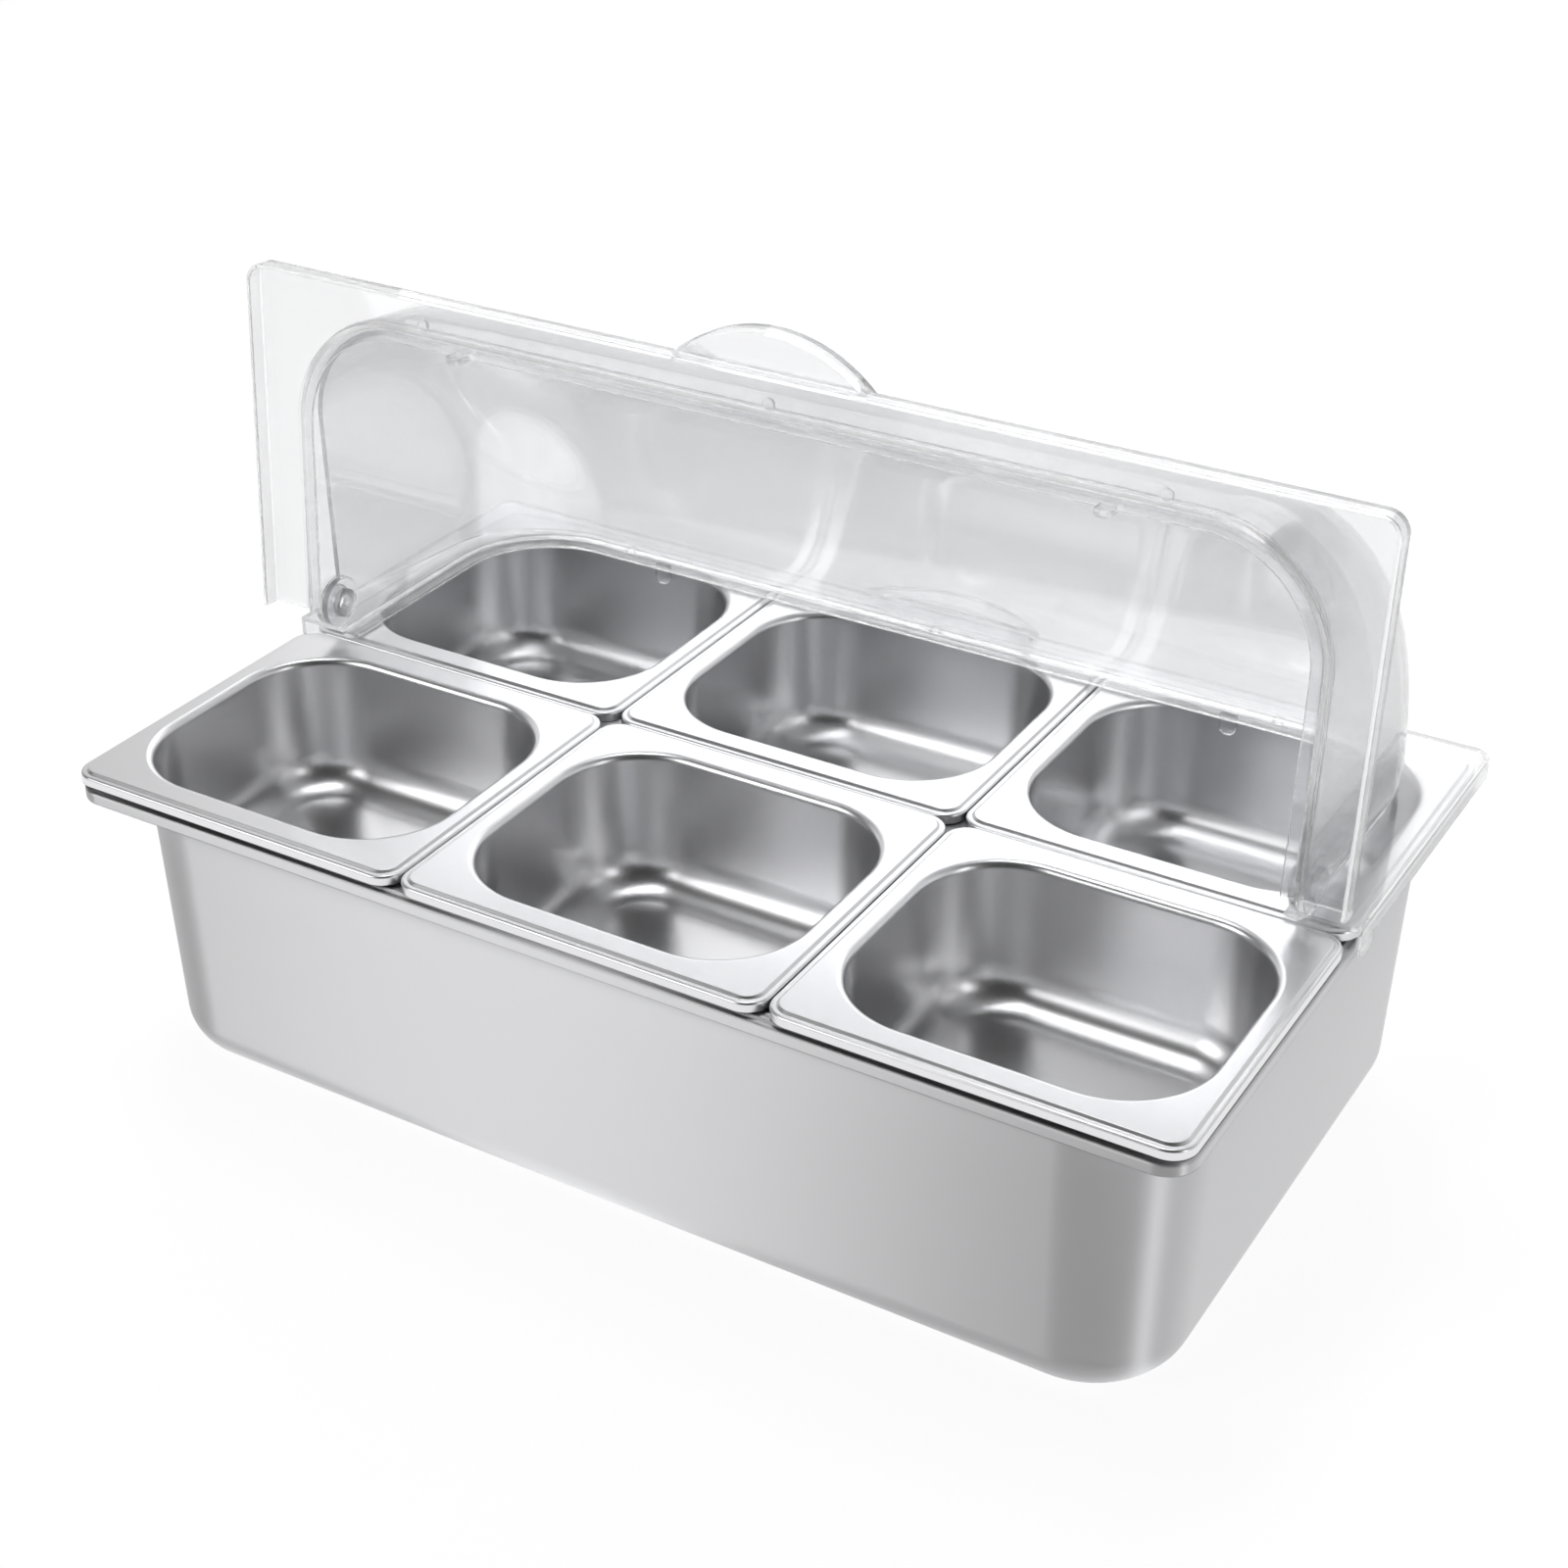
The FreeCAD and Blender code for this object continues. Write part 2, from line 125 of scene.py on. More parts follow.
baseSteelLook = {
    "bright": (0.82, 0.82, 0.83, 1),
    "dull": (0.76, 0.76, 0.772, 1),
    "roughness": 0.56,
    "cloud": 0.05,  # slow change of roughness over a wall
    "grain": 0.06,  # fine change of roughness along the polish marks
    "marks": 0.02,  # strength of the polish marks in the bump
    "brushed": 0.97,  # blur along Z, from polishing round the walls
    "stretch": (1, 1, 14),
}
panSteelLook = {
    "bright": (0.82, 0.82, 0.83, 1),
    "dull": (0.75, 0.75, 0.762, 1),
    "roughness": 0.3,
    "cloud": 0.05,
    "grain": 0.05,
    "marks": 0.008,
    "brushed": 0.0,
    "stretch": (6, 6, 1),
}
polish = {
    "cloudScale": 9.0,
    "grainScale": 60.0,
    "scuffScale": 900.0,
    "cloudShare": 0.6,  # of the tone; the rest is grain
    "grainShare": 0.85,  # of the bump; the rest is scuffs
    "depth": 0.0004,
    "upright": 0.25,  # a quarter turn, so that the blur runs along Z
}


def satinSteel(name, look):
    # roughness is the look's own value plus clouds and grain about their middle; the same noises mix the tone
    # and the bump
    material, start = newMaterial(name)
    cloud = noiseAt(start, (1, 1, 1), polish["cloudScale"], 3.0)
    grain = noiseAt(start, look["stretch"], polish["grainScale"], 4.0)
    scuff = noiseAt(start, (1, 1, 1), polish["scuffScale"], 2.0)
    shine = look["roughness"] + look["cloud"] * (cloud - 0.5) + look["grain"] * (grain - 0.5)
    blend = cloud * polish["cloudShare"] + grain * (1 - polish["cloudShare"])
    relief = grain * polish["grainShare"] + scuff * (1 - polish["grainShare"])
    tone = start.node("ShaderNodeMix", {"data_type": "RGBA"},
                      {"Factor": blend, "A": look["dull"], "B": look["bright"]}, 2)
    marks = start.node("ShaderNodeBump", {},
                       {"Strength": look["marks"], "Distance": polish["depth"], "Height": relief})
    shader = start.node("ShaderNodeBsdfPrincipled", {},
                        {"Base Color": tone, "Metallic": 1.0, "Roughness": shine, "Normal": marks,
                         "Anisotropic": look["brushed"], "Anisotropic Rotation": polish["upright"]})
    start.node("ShaderNodeOutputMaterial", {}, {"Surface": shader})
    return material


clearLook = {
    "colour": (0.945, 0.95, 0.96, 1),
    "body": 0.76,  # how far the moulding bends and catches the light, against passing it straight
    "refraction": 1.49,
    "roughness": 0.012,
    "haze": 0.03,  # patchy haze of a moulded surface
    "fittingHaze": 0.3,
    "ripple": 0.04,  # strength of the moulding's slow waves in the bump
    "waveDepth": 0.002,
    "flowScale": 14.0,
    "speckScale": 400.0,
}


def clearMoulding(name, haze):
    # roughness grows by the haze where slow flow and fine specks meet
    material, start = newMaterial(name)
    flow = noiseAt(start, (1, 1, 1), clearLook["flowScale"], 2.0)
    speck = noiseAt(start, (1, 1, 1), clearLook["speckScale"], 2.0)
    shine = clearLook["roughness"] + haze * flow * speck
    waves = start.node("ShaderNodeBump", {},
                       {"Strength": clearLook["ripple"], "Distance": clearLook["waveDepth"], "Height": flow})
    shader = start.node("ShaderNodeBsdfPrincipled", {},
                        {"Base Color": clearLook["colour"], "Roughness": shine, "Normal": waves,
                         "IOR": clearLook["refraction"], "Transmission Weight": 1.0,
                         "Alpha": clearLook["body"]})
    start.node("ShaderNodeOutputMaterial", {}, {"Surface": shader})
    return material


baseSteel = satinSteel("base satin steel", baseSteelLook)
panSteel = satinSteel("pan polished steel", panSteelLook)
clearCover = clearMoulding("clear cover", clearLook["haze"])
frostedFitting = clearMoulding("frosted fitting", clearLook["fittingHaze"])
print("materials made")

weld = 1e-6  # points nearer than this are one
arcSteps = {"least": 4, "perHalfTurn": 12, "perMetre": 400}


def roundedLine(corners):
    # a polyline of (x, y, radius) corners in a plane, each corner an arc that touches both its sides,
    # with one more point close beside each arc so that the flats stay flat in the shading
    points = [np.array(corner[:2]) for corner in corners]
    beside = 0.0004
    out = [points[0][None]]
    for last, here, after, (_, _, radius) in zip(points[:-2], points[1:-1], points[2:], corners[1:-1]):
        back = (last - here) / np.linalg.norm(last - here)
        ahead = (after - here) / np.linalg.norm(after - here)
        half = math.acos(np.clip(back @ ahead, -1, 1)) / 2
        run = radius / math.tan(half)
        inward = (back + ahead) / np.linalg.norm(back + ahead)
        centre = here + inward * radius / math.sin(half)
        first = here + back * run - centre
        swing = (math.pi - 2 * half) * np.sign(back[1] * ahead[0] - back[0] * ahead[1])
        count = (arcSteps["least"] + int(arcSteps["perHalfTurn"] * abs(swing) / math.pi)
                 + int(radius * arcSteps["perMetre"]))
        steps = np.linspace(0, swing, count)
        turned = np.stack([np.cos(steps) * first[0] - np.sin(steps) * first[1],
                           np.sin(steps) * first[0] + np.cos(steps) * first[1]], 1)
        arc = centre + turned
        out += [arc[:1] + back * beside, arc, arc[-1:] + ahead * beside]
    out.append(points[-1][None])
    return np.concatenate(out)


def ringsOf(halfLength, halfWidth, radius, height, perCorner):
    # one rounded rectangle for each entry: quarter arcs about four inset corners, joined by straight sides
    quarter = np.linspace(0, math.pi / 2, perCorner)
    angle = (np.arange(4)[:, None] * math.pi / 2 + quarter).ravel()
    sideX = np.repeat([1, -1, -1, 1], perCorner)
    sideY = np.repeat([1, 1, -1, -1], perCorner)
    x = sideX * (halfLength - radius)[:, None] + radius[:, None] * np.cos(angle)
    y = sideY * (halfWidth - radius)[:, None] + radius[:, None] * np.sin(angle)
    z = np.repeat(height[:, None], len(angle), 1)
    return np.stack([x, y, z], 2)


def stackedRings(rings):
    # rings joined in turn, with a cap on the first and the last
    count, around = rings.shape[:2]
    at = np.arange(count * around).reshape(count, around)
    beside = np.roll(at, -1, 1)
    quads = np.stack([at[:-1], beside[:-1], beside[1:], at[1:]], 2).reshape(-1, 4)
    return rings.reshape(-1, 3), [*quads.tolist(), at[0][::-1].tolist(), at[-1].tolist()]


def skinned(name, rings, material):
    # a smooth closed skin over stacked rings
    points, faces = stackedRings(rings)
    mesh = bpy.data.meshes.new(name)
    mesh.from_pydata(points, [], faces)
    mesh.polygons.foreach_set("use_smooth", np.ones(len(mesh.polygons), bool))
    mesh.materials.append(material)
    piece = bpy.data.objects.new(name, mesh)
    bpy.context.scene.collection.objects.link(piece)
    return piece


def drawnPan(node, sizes, material):
    # one drawn sheet: up the inside from the floor, over the lip, out along the ledge, down a step,
    # round the rim, back under the ledge and down the outside. Each ring is a rounded rectangle,
    # inset from the rim's outline in the rim and set off from the mouth's outline in the tub
    low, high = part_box(node)
    centre = (low + high) / 2
    halfLength, halfWidth = (high.x - low.x) / 2, (high.y - low.y) / 2
    deep = high.z - low.z
    sheet = sizes["sheet"]
    edge = sheet / 2
    crown, hem = edge * 3, edge * 0.9
    flat = 0.002  # what each section keeps of the ledge or floor beside its arc
    tightest = 0.001  # least corner of a ring in the rim
    inner = roundedLine([
        (-sizes["taper"] - sizes["floorBend"] - flat, sheet - deep, 0),
        (-sizes["taper"], sheet - deep, sizes["floorBend"]),
        (0, 0, sizes["lip"]),
        (sizes["lip"] + flat, 0, 0)])
    rim = roundedLine([
        (sizes["roll"] + flat / 4, 0, 0),
        (sizes["stepIn"], 0, edge),
        (sizes["stepIn"] - sizes["stepRun"], -sizes["stepDown"], edge),
        (0, -sizes["stepDown"], crown),
        (0, -sizes["rimDepth"], hem),
        (sheet, -sizes["rimDepth"], hem),
        (sheet, -sheet, sizes["roll"] - sheet),
        (sizes["roll"] + flat / 4, -sheet, 0)])
    outer = roundedLine([
        (sizes["lip"] + sheet + flat, -sheet, 0),
        (sheet, -sheet, sizes["lip"] + sheet),
        (sheet - sizes["taper"], -deep, sizes["floorBend"] + sheet),
        (-sizes["taper"] - sizes["floorBend"] - flat, -deep, 0)])
    mouthLength, mouthWidth = halfLength - sizes["sideLedge"], halfWidth - sizes["endLedge"]
    tub = [ringsOf(mouthLength + line[:, 0], mouthWidth + line[:, 0], sizes["mouthCorner"] + line[:, 0],
                   line[:, 1], sizes["cornerSteps"]) for line in (inner, outer)]
    rimCorner = np.maximum(sizes["rimCorner"] - rim[:, 0], tightest)
    roll = ringsOf(halfLength - rim[:, 0], halfWidth - rim[:, 0], rimCorner, rim[:, 1], sizes["cornerSteps"])
    rings = np.concatenate([tub[0], roll, tub[1]])
    rings += np.array([centre.x, centre.y, high.z])
    piece = skinned(node + "_skin", rings, material)
    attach(piece, frame["nodes"][node]["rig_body"])
    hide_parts(node)


basePan = {
    "sheet": 0.0009, "taper": 0.005, "floorBend": 0.020, "lip": 0.0035, "mouthCorner": 0.047,
    "sideLedge": 0.010, "endLedge": 0.0105,
    "roll": 0.0045, "rimCorner": 0.014, "rimDepth": 0.0065,
    "stepIn": 0.0038, "stepRun": 0.0012, "stepDown": 0.0010,  # the double line along the rim's edge
    "cornerSteps": 28,
}
smallPan = {
    "sheet": 0.0008, "taper": 0.0045, "floorBend": 0.018, "lip": 0.0035, "mouthCorner": 0.040,
    "sideLedge": 0.0117, "endLedge": 0.016,
    "roll": 0.0045, "rimCorner": 0.011, "rimDepth": 0.0055,
    "stepIn": 0.0038, "stepRun": 0.0012, "stepDown": 0.0010,
    "cornerSteps": 28,
}
drawnPan("base_pan", basePan, baseSteel)
for row in ("front", "rear"):
    for column in ("left", "middle", "right"):
        drawnPan(f"{row}_{column}_pan", smallPan, panSteel)
print("pans drawn")


lidCover = {
    "hinge": 0.1688, "lean": 4.0, "split": 0.0005, "sweep": {"front": 91.0, "rear": 91.5},
    "half": 0.245, "reach": 0.1475, "corner": 0.054, "wall": 0.0025, "nest": 0.0012,
    "flangeTop": -0.015, "flangeFoot": -0.017, "beadFoot": -0.0187, "beadInset": 0.0055,
    "skirtHalf": 0.2688, "skirtReach": 0.1663, "skirtCorner": 0.009, "skirtWall": 0.002, "skirtFoot": -0.0245,
    "soft": 0.0006, "crease": 35, "sideSteps": 10, "cornerSteps": 30, "turnSteps": 64,
}
lidFittings = {
    "sink": 0.0003, "ease": 0.0003, "ear": 0.0123, "bore": 0.00405, "borePast": 0.002, "boss": 0.0003,
    "stopWidth": 0.006, "stopFoot": -0.0143,
    "lobeWidth": 0.016, "lobeFoot": -0.032, "lobeCorner": 0.0075,
    "tongueAcross": 0.306, "tongueWidth": 0.008, "tongueCorner": 0.0032, "tongueFoot": -0.0277,
    "tongueFace": 0.1445, "tongueThick": 0.003,
    "nubAcross": 0.175, "nubRadius": 0.0028, "nubSteps": 24,
    "gripLength": 0.095, "gripBow": 0.068, "gripTop": -0.012, "gripFoot": -0.020, "gripWall": 0.0024,
    "gripEase": 0.0006, "gripShrink": 0.03,
}


def horseshoes(half, reach, radius):
    # one U for each entry, in plan: up the left side from the split, round two corner arcs, down the right
    tightest = 0.0004
    radius = np.maximum(radius, tightest)
    rise = np.linspace(0, 1, lidCover["sideSteps"])[None]
    bend = np.linspace(0, math.pi / 2, lidCover["cornerSteps"])[None]
    half, reach, radius = half[:, None], reach[:, None], radius[:, None]
    sideY = lidCover["split"] + rise * (reach - radius - lidCover["split"])
    sideX = np.repeat(half, sideY.shape[1], 1)
    bendX = half - radius + radius * np.cos(bend)
    bendY = reach - radius + radius * np.sin(bend)
    x = np.concatenate([-sideX, -bendX, bendX[:, ::-1], sideX[:, ::-1]], 1)
    y = np.concatenate([sideY, bendY, bendY[:, ::-1], sideY[:, ::-1]], 1)
    return x, y


def lidShell(inside, sweep):
    # the section of the cover carried round a U: the dome's rows turn the U about the hinge line, and the
    # rows of the curtain, bead, flange and skirt hold it level. They run down the inside, round the lip
    # and up the outside
    half, reach, corner = inside
    wall, soft = lidCover["wall"], lidCover["soft"]
    top, foot, bead = lidCover["flangeTop"], lidCover["flangeFoot"], lidCover["beadFoot"]
    inset, skirt, skirtFoot = lidCover["beadInset"], lidCover["skirtWall"], lidCover["skirtFoot"]
    flat = 0.004  # what each section keeps of the flange
    lower = roundedLine([(0, 0, 0), (0, foot, soft), (-inset, foot, soft), (-inset, bead, soft),
                         (wall, bead, soft), (wall, foot, soft), (wall + flat, foot, 0)])
    lip = roundedLine([(flat * 2, foot, 0), (skirt, foot, soft), (skirt, skirtFoot, soft),
                       (0, skirtFoot, soft), (0, top, soft), (flat * 2, top, 0)])
    upper = roundedLine([(wall + flat, top, 0), (wall, top, soft * 2), (wall, 0, 0)])
    level = np.concatenate([lower[:, 1], lip[:, 1], upper[:, 1]])
    halves = np.concatenate([half + lower[:, 0], lidCover["skirtHalf"] - lip[:, 0], half + upper[:, 0]])
    reaches = np.concatenate([reach + lower[:, 0], lidCover["skirtReach"] - lip[:, 0], reach + upper[:, 0]])
    bends = np.concatenate([corner + lower[:, 0], lidCover["skirtCorner"] - lip[:, 0], corner + upper[:, 0]])
    x, y = horseshoes(halves, reaches, bends)
    rim = np.stack([x, y, np.repeat(level[:, None], x.shape[1], 1)], 2)
    turn = np.radians(np.linspace(0, sweep, lidCover["turnSteps"])[1:])
    edge = math.radians(sweep)
    angle = np.concatenate([turn, [edge, edge], turn[::-1]])
    thick = np.concatenate([np.full_like(turn, wall), [wall - soft, soft], np.zeros_like(turn)])
    angle[len(turn) - 1] -= soft / reach
    angle[len(turn) + 2] -= soft / reach
    x, y = horseshoes(half + thick, reach + thick, corner + thick)
    dome = np.stack([x, y * np.cos(angle)[:, None], y * np.sin(angle)[:, None]], 2)
    return closedShell(np.concatenate([rim, dome]), len(rim))


def closedShell(rows, rimRows):
    # a grid closed on itself from the last row to the first. Each end of its columns gets a flat cap over
    # the rim's rows and a strip between the dome's outer and inner rows, which lie side by side there
    count, along = rows.shape[:2]
    at = np.arange(count * along).reshape(count, along)
    after = np.roll(at, -1, 0)
    quads = np.stack([at[:, :-1], at[:, 1:], after[:, 1:], after[:, :-1]], 2).reshape(-1, 4)
    faces = quads.tolist()
    pairs = (count - rimRows) // 2
    outer = np.arange(rimRows - 1, rimRows + pairs)
    inner = -np.arange(pairs + 1) % count
    for column in (at[:, 0], at[:, -1]):
        strip = np.stack([column[outer[:-1]], column[outer[1:]], column[inner[1:]], column[inner[:-1]]], 1)
        faces += [column[:rimRows].tolist(), *strip.tolist()]
    return rows.reshape(-1, 3), faces


def levelRings(lines, levels):
    # each plane line, lifted to its level
    return np.stack([np.column_stack([line, np.full(len(line), level)])
                     for line, level in zip(lines, levels)])


def slab(outline, low, high, order):
    # an outline in a plane, carried from low to high across it, its edges eased by a short inset at both ends
    ease = lidFittings["ease"]
    ahead = np.roll(outline, -1, 0) - np.roll(outline, 1, 0)
    inward = np.stack([-ahead[:, 1], ahead[:, 0]], 1) / np.linalg.norm(ahead, axis=1)[:, None]
    inset = outline + inward * ease
    flats = [inset, outline, outline, inset]
    across = [low, low + ease, high - ease, high]
    return stackedRings(levelRings(flats, across)[:, :, order])


def bowLine(length, radius, centre, level):
    # a chord along X at a level, closed by an arc about a centre behind it
    alongArc, alongChord = 48, 12
    swing = math.asin(length / 2 / radius)
    angle = np.linspace(-swing, swing, alongArc)
    arc = np.stack([radius * np.sin(angle), centre + radius * np.cos(angle)], 1)[::-1]
    x = np.linspace(-length / 2, length / 2, alongChord)[1:-1]
    return np.concatenate([arc, np.stack([x, np.full_like(x, level)], 1)])


def palmGrip():
    # a bow-shaped lug, hollow underneath: down inside the hollow, round the foot and up the outside
    fit = lidFittings
    chord = lidCover["skirtReach"] - lidCover["skirtWall"] + fit["sink"]
    centre = chord - math.sqrt(fit["gripBow"] ** 2 - (fit["gripLength"] / 2) ** 2)
    hollow = fit["gripBow"] - fit["gripWall"]
    web = lidCover["skirtReach"] + fit["sink"]
    hollowLength = 2 * math.sqrt(hollow ** 2 - (web - centre) ** 2)
    inner = bowLine(hollowLength, hollow, centre, web)
    outer = bowLine(fit["gripLength"], fit["gripBow"], centre, chord)
    eased = outer + (np.array([0, chord]) - outer) * fit["gripShrink"]
    top, foot = fit["gripTop"], fit["gripFoot"]
    levels = [top - fit["gripWall"], foot, foot, top - fit["gripEase"], top]
    return stackedRings(levelRings([inner, inner, outer, outer, eased], levels))


def disc(radius, steps=64):
    # a circle of points
    angle = np.linspace(0, 2 * math.pi, steps + 1)[:-1]
    return np.stack([np.cos(angle), np.sin(angle)], 1) * radius


def lidDetails(side, half, reach):
    # slabs that sink a little into the shell: the handle, nubs, ears and tongues, and the stops or the lobes
    fit = lidFittings
    foot, bead, wall = lidCover["flangeFoot"], lidCover["beadFoot"], lidCover["wall"]
    sink = fit["sink"]
    made = [palmGrip()]
    for place in (-1, 0, 1):
        nubCentre = (place * fit["nubAcross"], reach + wall + fit["nubRadius"] - sink)
        nub = disc(fit["nubRadius"], fit["nubSteps"]) + nubCentre
        made.append(slab(nub, bead + sink, foot + sink, [0, 1, 2]))
    for end in (-1, 1):
        wallFace = half if end > 0 else -half - wall
        made.append(slab(disc(fit["ear"]), wallFace - fit["boss"], wallFace + wall + fit["boss"], [2, 0, 1]))
        left = end * fit["tongueAcross"] / 2 - fit["tongueWidth"] / 2
        right, tip, bend = left + fit["tongueWidth"], fit["tongueFoot"], fit["tongueCorner"]
        tongue = roundedLine([(left, foot - sink, 0), (left, tip, bend),
                              (right, tip, bend), (right, foot - sink, 0)])
        made.append(slab(tongue, fit["tongueFace"] - fit["tongueThick"], fit["tongueFace"], [0, 2, 1]))
        if side == "front":
            heel, high = fit["stopFoot"], fit["stopWidth"]
            stop = np.array([(heel, 0), (sink, 0), (sink, high), (heel, high)])
            made.append(slab(stop, wallFace + sink / 2, wallFace + wall - sink / 2, [2, 0, 1]))
        else:
            near, far = lidCover["split"], lidCover["split"] + fit["lobeWidth"]
            top, tip, bend = lidCover["flangeTop"] - sink, fit["lobeFoot"], fit["lobeCorner"]
            lobe = roundedLine([(near, top, 0), (near, tip, bend), (far, tip, bend), (far, top, 0)])
            skirt = lidCover["skirtWall"]
            edge = lidCover["skirtHalf"] - skirt if end > 0 else -lidCover["skirtHalf"]
            made.append(slab(lobe, edge + sink / 2, edge + skirt - sink / 2, [2, 0, 1]))
    return made


def pinBores(half):
    # a rod through each end wall, a little longer than the wall is thick
    bore = disc(lidFittings["bore"])
    past, wall = lidFittings["borePast"], lidCover["wall"]
    return [slab(bore, face - past, face + wall + past, [2, 0, 1]) for face in (half, -half - wall)]


def looseSolid(name, parts):
    # closed surfaces side by side in one mesh, their faces turned outwards
    starts = np.cumsum([0] + [len(points) for points, faces in parts])
    points = np.concatenate([points for points, faces in parts])
    faces = [[corner + start for corner in face] for (_, some), start in zip(parts, starts) for face in some]
    mesh = bpy.data.meshes.new(name)
    mesh.from_pydata(points, [], faces)
    work = bmesh.new()
    work.from_mesh(mesh)
    bmesh.ops.remove_doubles(work, verts=work.verts, dist=weld)
    bmesh.ops.recalc_face_normals(work, faces=work.faces)
    work.to_mesh(mesh)
    work.free()
    piece = bpy.data.objects.new(name, mesh)
    bpy.context.scene.collection.objects.link(piece)
    return piece


def mouldedLid(side, material):
    # the shell with its details joined on and the pins' bores cut out. The front half is turned half round
    # about Z, then folded up about the hinge line
    nested = lidCover["nest"] + lidCover["wall"] if side == "rear" else 0
    half, reach, corner = (lidCover[name] - nested for name in ("half", "reach", "corner"))
    shell = looseSolid(side + "_shell", [lidShell((half, reach, corner), lidCover["sweep"][side])])
    details = looseSolid(side + "_details", lidDetails(side, half, reach))
    bores = looseSolid(side + "_bores", pinBores(half))
    for operation, other in (("UNION", details), ("DIFFERENCE", bores)):
        step = shell.modifiers.new(operation, "BOOLEAN")
        step.operation = operation
        step.solver = "EXACT"
        step.use_self = operation == "UNION"
        step.object = other
    mesh = bpy.data.meshes.new_from_object(shell.evaluated_get(bpy.context.evaluated_depsgraph_get()))
    for helper in (shell, details, bores):
        bpy.data.objects.remove(helper)
    points = np.empty(3 * len(mesh.vertices), np.float32)
    mesh.vertices.foreach_get("co", points)
    x, y, z = points.reshape(-1, 3).T
    if side == "front":
        fold = math.radians(-90 - lidCover["lean"])
        x, y = -x, -y
        y, z = y * math.cos(fold) - z * math.sin(fold), y * math.sin(fold) + z * math.cos(fold)
    placed = np.stack([x, y, z + lidCover["hinge"]], 1)
    mesh.vertices.foreach_set("co", placed.ravel().astype(np.float32))
    mesh.polygons.foreach_set("use_smooth", np.ones(len(mesh.polygons), bool))
    mesh.set_sharp_from_angle(angle=math.radians(lidCover["crease"]))
    mesh.materials.clear()
    mesh.materials.append(material)
    node = side + "_lid"
    piece = bpy.data.objects.new(node + "_skin", mesh)
    bpy.context.scene.collection.objects.link(piece)
    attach(piece, frame["nodes"][node]["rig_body"])
    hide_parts(node)


for side in ("rear", "front"):
    mouldedLid(side, clearCover)
print("cover moulded")

fittingCrease = 35  # degrees


def smoothedCopy(node, material, crease):
    # the solid's own skin with its triangles joined, and its round faces shaded smooth up to a crease angle
    mesh = frame["nodes"][node].data.copy()
    work = bmesh.new()
    work.from_mesh(mesh)
    bmesh.ops.remove_doubles(work, verts=work.verts, dist=weld)
    work.to_mesh(mesh)
    work.free()
    mesh.materials.clear()
    mesh.materials.append(material)
    mesh.set_sharp_from_angle(angle=math.radians(crease))
    mesh.polygons.foreach_set("use_smooth", np.ones(len(mesh.polygons), bool))
    piece = bpy.data.objects.new(node + "_skin", mesh)
    bpy.context.scene.collection.objects.link(piece)
    weigh = piece.modifiers.new("even shading", "WEIGHTED_NORMAL")
    weigh.keep_sharp = True
    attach(piece, frame["nodes"][node]["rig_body"])
    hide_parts(node)


for node in ("left_hinge_pin", "right_hinge_pin", "left_pin_cap", "right_pin_cap"):
    smoothedCopy(node, frostedFitting, fittingCrease)
smoothedCopy("support_bar", baseSteel, fittingCrease)
print("fittings finished")

studio = {
    "floorSize": 9.0,
    "floorSteps": 13,
    "floorColour": (0.2, 0.2, 0.2, 1),
    "floorGlow": 0.86,  # a floor lit from below, so that it stays white to the corners
    "stageRoughness": 0.8,
    "wallRadius": 8.82,
    "wallFoot": -0.01,
    "wallHeight": 8.0,
    "wallSteps": 65,
    "wallGlow": 0.93,
    "camera": (0.5229, -0.8718, 0.7339),
    "azimuth": 30.801,
    "elevation": 30.270,
    "lens": 61.22,
    "sensor": 36,
    "sky": 0.75,
    "dark": 0.04,
    "skyStops": (0.25, 0.75),
    "skyLean": 0.15,  # how much darker it gets overhead
    "aim": (0, 0, 0.15),
}
softBoxes = {
    "overhead": {"place": (-0.2, 0.1, 1.9), "width": 1.0, "height": 0.45, "watts": 7},
    "front": {"place": (-1.15, -1.7, 1.25), "width": 1.3, "height": 1.2, "watts": 15},
    "back": {"place": (-0.6, 2.0, 1.4), "width": 2.2, "height": 1.2, "watts": 11},
    "right": {"place": (2.1, -0.55, 0.9), "width": 0.3, "height": 1.6, "watts": 5},
}


def stageSheet(name, grid, colour, glow):
    # a grid of points as one sheet, part of the studio
    at = np.arange(grid.shape[0] * grid.shape[1]).reshape(grid.shape[:2])
    quads = np.stack([at[:-1, :-1], at[1:, :-1], at[1:, 1:], at[:-1, 1:]], 2).reshape(-1, 4)
    mesh = bpy.data.meshes.new(name)
    mesh.from_pydata(grid.reshape(-1, 3), [], quads.tolist())
    material, start = newMaterial("pale " + name)
    shader = start.node("ShaderNodeBsdfPrincipled", {},
                        {"Base Color": colour, "Roughness": studio["stageRoughness"],
                         "Emission Color": (1, 1, 1, 1), "Emission Strength": glow})
    start.node("ShaderNodeOutputMaterial", {}, {"Surface": shader})
    mesh.materials.append(material)
    sheet = bpy.data.objects.new(name, mesh)
    bpy.context.scene.collection.objects.link(sheet)
    return sheet


def makeFloor():
    # a flat square of points
    steps = np.linspace(-studio["floorSize"], studio["floorSize"], studio["floorSteps"])
    x, y = np.meshgrid(steps, steps, indexing="ij")
    grid = np.stack([x, y, np.zeros_like(x)], 2)
    stageSheet("floor", grid, studio["floorColour"], studio["floorGlow"])


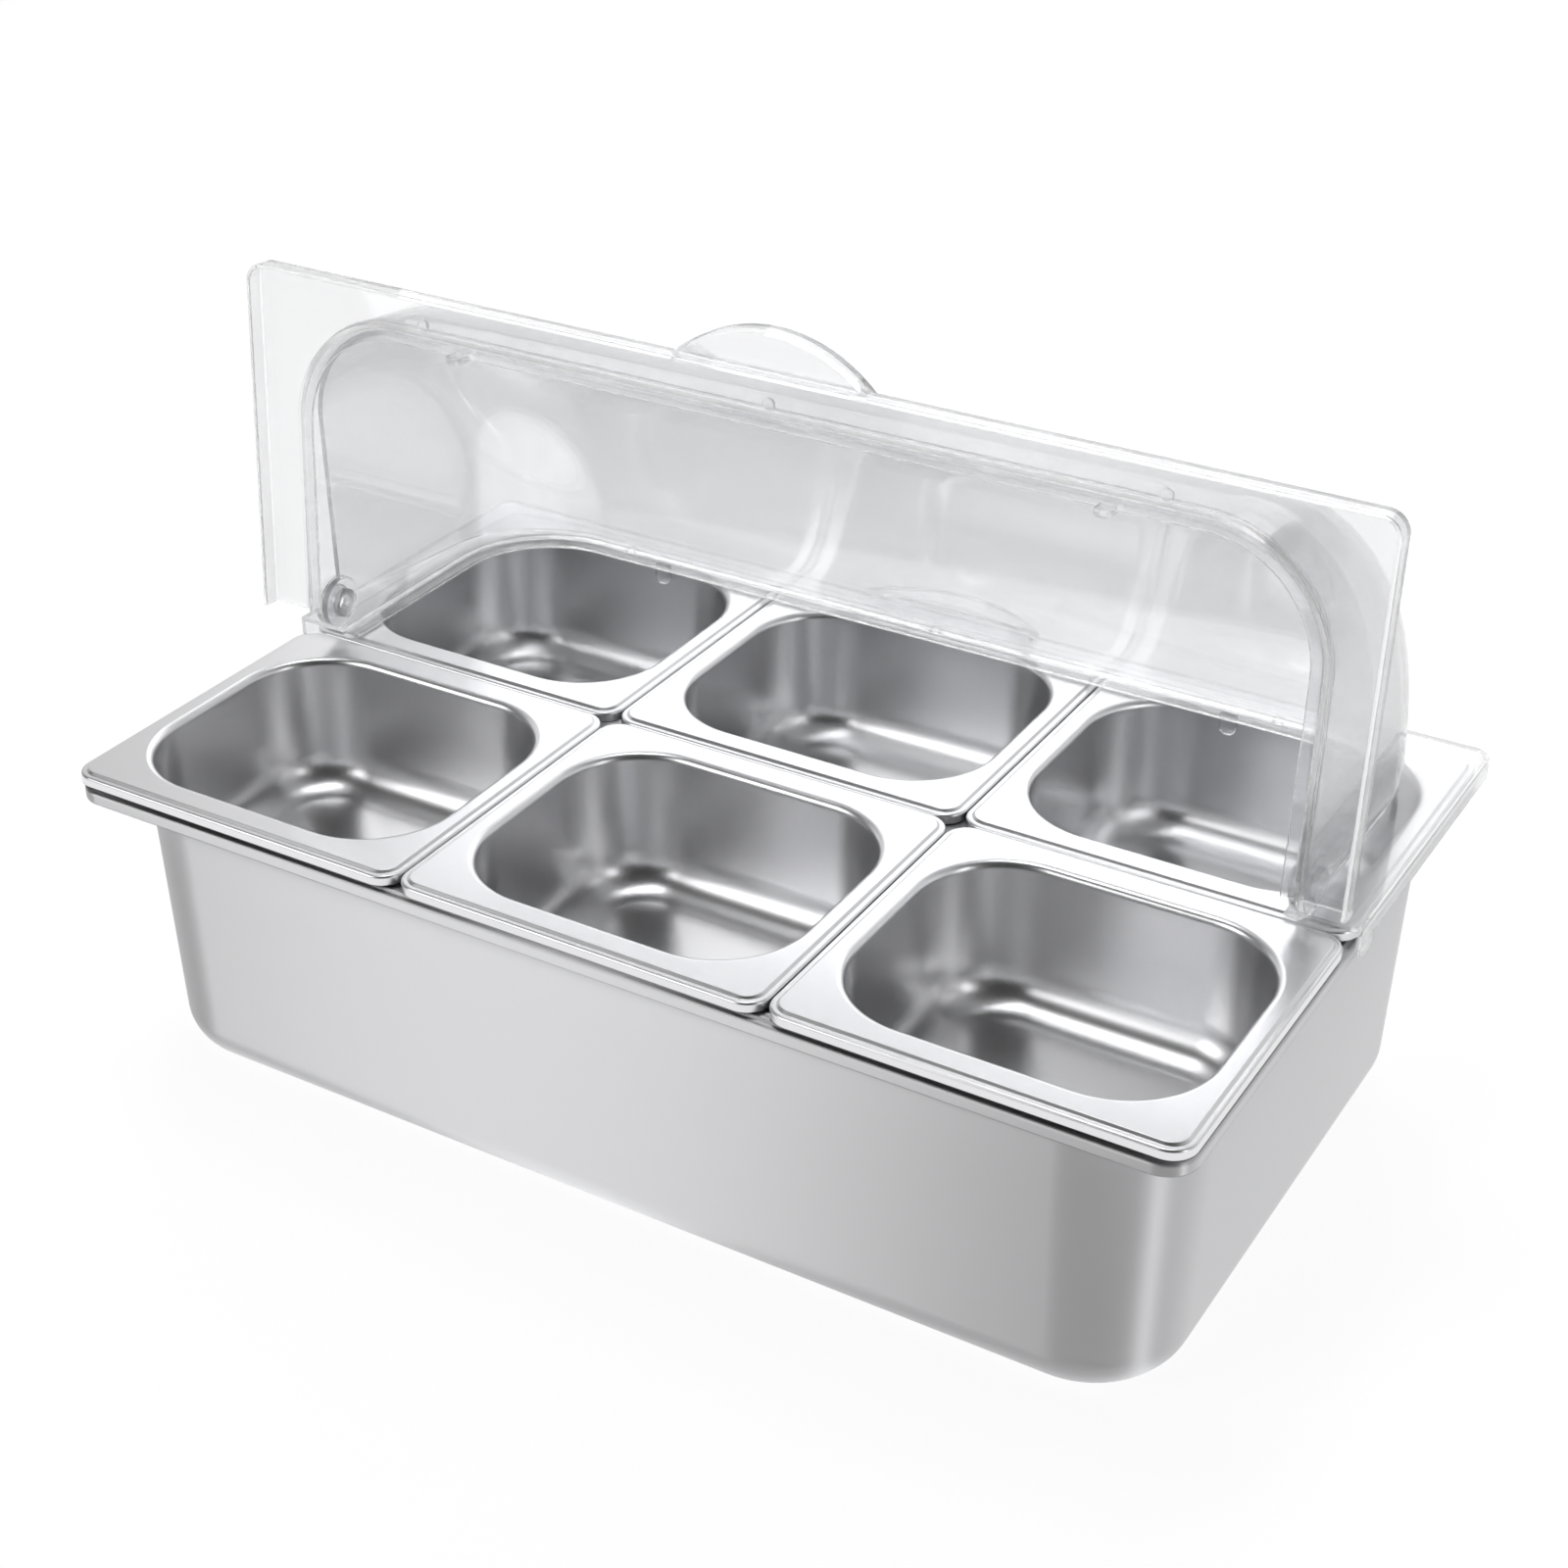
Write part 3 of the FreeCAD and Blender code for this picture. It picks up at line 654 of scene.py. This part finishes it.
def makeBackdrop():
    # a round wall at the floor's edge that only views near the horizon meet; the steel reflects past it
    steps = np.linspace(0, 2 * math.pi, studio["wallSteps"])
    angle, height = np.meshgrid(steps, (studio["wallFoot"], studio["wallHeight"]), indexing="ij")
    grid = np.stack([studio["wallRadius"] * np.cos(angle), studio["wallRadius"] * np.sin(angle), height], 2)
    wall = stageSheet("backdrop", grid, (0, 0, 0, 1), studio["wallGlow"])
    wall.visible_glossy = False
    wall.visible_diffuse = False
    wall.visible_shadow = False


def makeSky():
    # a white room behind the object that darkens towards the viewer's side and overhead
    world = bpy.data.worlds.new("studio")
    world.use_nodes = True
    world.node_tree.nodes.clear()
    start = Shade(world.node_tree)
    place = start.node("ShaderNodeTexCoord", {}, {}, "Generated")
    back = start.node("ShaderNodeSeparateXYZ", {}, {"Vector": place}, "Y")
    up = start.node("ShaderNodeSeparateXYZ", {}, {"Vector": place}, "Z")
    stops = list(zip(studio["skyStops"], (studio["dark"], studio["sky"])))
    grade = start.node("ShaderNodeValToRGB", {"stops": stops},
                       {"Fac": back * 0.5 - up * studio["skyLean"] + 0.5})
    light = start.node("ShaderNodeBackground", {}, {"Color": grade, "Strength": 1.0})
    start.node("ShaderNodeOutputWorld", {}, {"Surface": light})
    bpy.context.scene.world = world


def softBox(name, box):
    lamp = bpy.data.lights.new(name, "AREA")
    lamp.shape = "RECTANGLE"
    lamp.size = box["width"]
    lamp.size_y = box["height"]
    lamp.energy = box["watts"]
    stand = bpy.data.objects.new(name, lamp)
    stand.location = box["place"]
    stand.rotation_mode = "QUATERNION"
    stand.rotation_quaternion = (Vector(studio["aim"]) - Vector(box["place"])).to_track_quat("-Z", "Y")
    bpy.context.scene.collection.objects.link(stand)


makeFloor()
makeBackdrop()
makeSky()
for name, box in softBoxes.items():
    softBox(name, box)

camera = bpy.data.objects.new("camera", bpy.data.cameras.new("camera"))
camera.data.lens = studio["lens"]
camera.data.sensor_width = studio["sensor"]
camera.location = studio["camera"]
around, above = math.radians(studio["azimuth"]), math.radians(studio["elevation"])
level = math.cos(above)
outward = Vector((math.sin(around) * level, -math.cos(around) * level, math.sin(above)))
camera.rotation_mode = "QUATERNION"
camera.rotation_quaternion = (-outward).to_track_quat("-Z", "Y")
bpy.context.scene.collection.objects.link(camera)
bpy.context.scene.camera = camera
bpy.context.scene.view_settings.view_transform = "Standard"
print("studio set")
